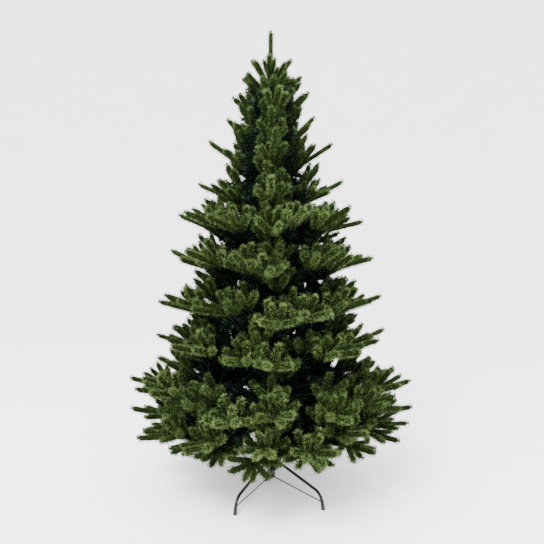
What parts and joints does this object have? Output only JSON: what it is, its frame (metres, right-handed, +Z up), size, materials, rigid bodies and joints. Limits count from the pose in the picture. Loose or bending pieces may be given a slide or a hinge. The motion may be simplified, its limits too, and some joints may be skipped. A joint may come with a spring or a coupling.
{
  "type": "artificial christmas tree on a folding stand",
  "caption": "Full conical artificial tree: a stepped pole ringed by tiers of needled boughs, on a low folding stand with bent tube legs.",
  "frame": {"origin": "on the floor under the pole's axis, in the plane of the four feet's undersides", "axes": "+Z up along the pole, -Y towards the side that the picture shows, +X to the picture's right"},
  "size_m": [1.3656, 1.3042, 2.1],
  "materials": {
    "foliage": "matte moulded needles",
    "pole": "satin dark green coat",
    "socket": "satin grey-green coat",
    "black_steel": "semi-gloss black coat",
    "black_plastic": "matte black"
  },
  "bodies": {
    "root": {"mass_leader": "foliage", "mass_tier_10_1": "foliage", "mass_tier_10_2": "foliage", "mass_tier_10_3": "foliage", "mass_tier_10_4": "foliage", "mass_tier_1_1": "foliage", "mass_tier_1_2": "foliage", "mass_tier_1_3": "foliage", "mass_tier_1_4": "foliage", "mass_tier_1_5": "foliage", "mass_tier_2_1": "foliage", "mass_tier_2_2": "foliage", "mass_tier_2_3": "foliage", "mass_tier_2_4": "foliage", "mass_tier_2_5": "foliage", "mass_tier_3_1": "foliage", "mass_tier_3_2": "foliage", "mass_tier_3_3": "foliage", "mass_tier_3_4": "foliage", "mass_tier_4_1": "foliage", "mass_tier_4_2": "foliage", "mass_tier_4_3": "foliage", "mass_tier_4_4": "foliage", "mass_tier_5_1": "foliage", "mass_tier_5_2": "foliage", "mass_tier_5_3": "foliage", "mass_tier_5_4": "foliage", "mass_tier_6_1": "foliage", "mass_tier_6_2": "foliage", "mass_tier_6_3": "foliage", "mass_tier_6_4": "foliage", "mass_tier_7_1": "foliage", "mass_tier_7_2": "foliage", "mass_tier_7_3": "foliage", "mass_tier_7_4": "foliage", "mass_tier_8_1": "foliage", "mass_tier_8_2": "foliage", "mass_tier_8_3": "foliage", "mass_tier_8_4": "foliage", "mass_tier_9_1": "foliage", "mass_tier_9_2": "foliage", "mass_tier_9_3": "foliage", "mass_tier_9_4": "foliage", "pole": "pole", "stand_bottom_cap": "black_plastic", "stand_brace_1": "black_steel", "stand_brace_2": "black_steel", "stand_brace_3": "black_steel", "stand_brace_4": "black_steel", "stand_collar": "black_steel", "stand_foot_1": "black_plastic", "stand_foot_2": "black_plastic", "stand_foot_3": "black_plastic", "stand_foot_4": "black_plastic", "stand_leg_1": "black_steel", "stand_leg_2": "black_steel", "stand_leg_3": "black_steel", "stand_leg_4": "black_steel", "stand_socket": "socket"}
  },
  "joints": []
}
